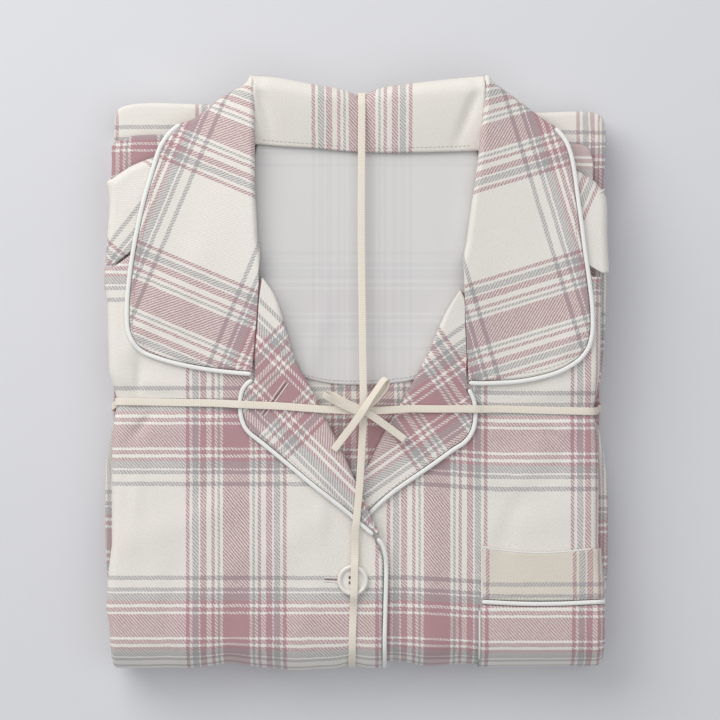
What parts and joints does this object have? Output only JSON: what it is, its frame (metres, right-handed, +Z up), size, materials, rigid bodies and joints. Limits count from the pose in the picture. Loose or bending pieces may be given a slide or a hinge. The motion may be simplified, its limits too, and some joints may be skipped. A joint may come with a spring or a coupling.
{
  "type": "folded pyjama set tied with tape",
  "caption": "Plaid flannel pyjama shirt with a piped notched collar, folded flat around its trousers and tied crosswise with a narrow cotton tape in a bow.",
  "frame": {"origin": "middle of the underside of the folded set, on the surface it lies on", "axes": "+X across the shirt to the side with the pocket, +Y towards the collar, +Z up"},
  "size_m": [0.2861, 0.3361, 0.0531],
  "materials": {
    "plaid_flannel": "brushed twill, napped",
    "white_facing": "plain weave, matte",
    "white_piping": "smooth, matte",
    "cotton_tape": "plain weave with cross ribs, matte",
    "button": "polished"
  },
  "bodies": {
    "root": {"trousers": "plaid_flannel", "sleeve_left": "plaid_flannel", "sleeve_right": "plaid_flannel", "front_left": "plaid_flannel", "front_right": "plaid_flannel", "back_inside": "plaid_flannel", "shoulder_left": "plaid_flannel", "shoulder_right": "plaid_flannel", "collar_left": "plaid_flannel", "collar_right": "plaid_flannel", "collar_back": "plaid_flannel", "lapel_left": "plaid_flannel", "lapel_right": "plaid_flannel", "pocket": "plaid_flannel", "pocket_band": "plaid_flannel", "neck_facing": "white_facing", "piping_collar_left": "white_piping", "piping_collar_right": "white_piping", "piping_lapel_left": "white_piping", "piping_lapel_right": "white_piping", "piping_front": "white_piping", "piping_pocket": "white_piping", "tape_down": "cotton_tape", "tape_across": "cotton_tape", "tape_loop_right": "cotton_tape", "tape_loop_left": "cotton_tape", "tape_tail_right": "cotton_tape", "tape_knot": "cotton_tape", "button": "button"}
  },
  "joints": []
}
